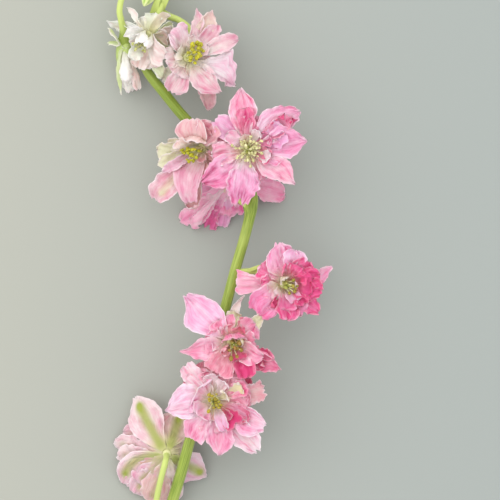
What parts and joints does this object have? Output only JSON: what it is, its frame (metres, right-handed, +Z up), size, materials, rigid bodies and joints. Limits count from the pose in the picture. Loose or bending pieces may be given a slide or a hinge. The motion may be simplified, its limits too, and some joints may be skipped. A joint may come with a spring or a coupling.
{
  "type": "delphinium flower stem",
  "caption": "Cut, gently waved delphinium spike with open half-double blooms on curved stalks, an opening bud and closed buds at the tip, lying flat.",
  "frame": {"origin": "middle of the flat rest spot under the cut end of the stem, on the surface it lies on", "axes": "+Y along the stem from the cut end towards the tip, +Z up from the surface towards the open faces of the upper blooms, +X to the right of the stem seen from above"},
  "size_m": [0.0817, 0.2508, 0.0368],
  "materials": {
    "stem_green": "fresh green, slightly downy, satin",
    "petal_pink": "soft veined petal, paler at the rims",
    "petal_pale": "soft veined petal, pale pink to cream",
    "bud_green": "pale green, matt, downy",
    "anther_yellow": "dull yellow-green, grainy"
  },
  "bodies": {
    "root": {"flower_stem": "stem_green", "bloom_1_petals": "petal_pale", "bloom_1_stamens": "anther_yellow", "bloom_2_petals": "petal_pale", "bloom_2_stamens": "anther_yellow", "bloom_3_petals": "petal_pink", "bloom_3_stamens": "anther_yellow", "bloom_4_petals": "petal_pink", "bloom_4_stamens": "anther_yellow", "bloom_5_petals": "petal_pink", "bloom_5_stamens": "anther_yellow", "bloom_6_petals": "petal_pink", "bloom_6_stamens": "anther_yellow", "bloom_7_petals": "petal_pale", "bloom_7_stamens": "anther_yellow", "bloom_8_petals": "petal_pale", "bloom_8_stamens": "anther_yellow", "bloom_9_petals": "petal_pale", "bloom_9_stamens": "anther_yellow", "opening_bud_petals": "bud_green", "bud_1": "bud_green", "bud_2": "bud_green", "bud_3": "bud_green", "bud_4": "bud_green", "bud_5": "bud_green"}
  },
  "joints": []
}
